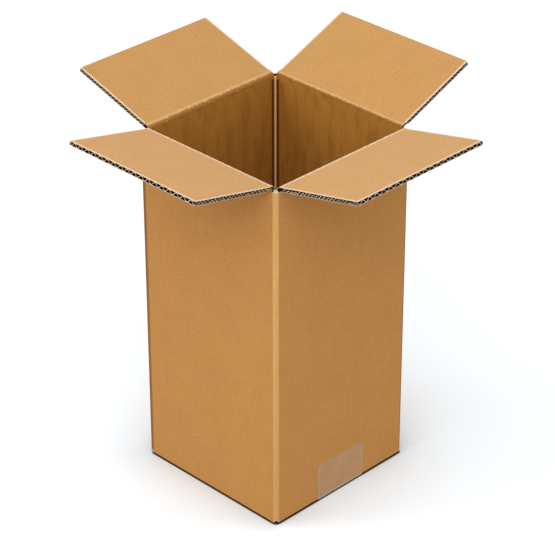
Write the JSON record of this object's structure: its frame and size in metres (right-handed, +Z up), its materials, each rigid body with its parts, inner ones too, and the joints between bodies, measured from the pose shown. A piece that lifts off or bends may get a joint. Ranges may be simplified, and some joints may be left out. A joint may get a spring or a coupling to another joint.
{
  "type": "open cardboard box",
  "caption": "Tall square carton of corrugated board with a taped base and its top flaps folded open, for packing and shipping.",
  "frame": {"origin": "middle of the base, on the surface that the box stands on", "axes": "+Z up through the open top; X along the taped base seam, Y across it; +X is the wall whose tape end the picture shows"},
  "size_m": [0.3265, 0.3212, 0.3605],
  "materials": {
    "kraft_board": "matte kraft liner",
    "clear_tape": "clear film, satin"
  },
  "bodies": {
    "box": {"carton": "kraft_board", "tape": "clear_tape"},
    "inner_flap_front": {"inner_flap_front": "kraft_board"},
    "inner_flap_back": {"inner_flap_back": "kraft_board"},
    "outer_flap_front": {"outer_flap_front": "kraft_board"},
    "outer_flap_back": {"outer_flap_back": "kraft_board"}
  },
  "joints": [
    {"name": "inner_fold_front", "type": "hinge", "parent": "box", "child": "inner_flap_front", "pos_m": [0.07908, 0, 0.32493], "axis": [0, -1, 0], "range_deg": [-57.7, 167.3]},
    {"name": "inner_fold_back", "type": "hinge", "parent": "box", "child": "inner_flap_back", "pos_m": [-0.07908, 0, 0.32493], "axis": [0, 1, 0], "range_deg": [-62.4, 166.4]},
    {"name": "outer_fold_front", "type": "hinge", "parent": "box", "child": "outer_flap_front", "pos_m": [0, -0.07692, 0.32708], "axis": [-1, 0, 0], "range_deg": [-57.6, 167.4]},
    {"name": "outer_fold_back", "type": "hinge", "parent": "box", "child": "outer_flap_back", "pos_m": [0, 0.07692, 0.32708], "axis": [1, 0, 0], "range_deg": [-67, 154]}
  ]
}
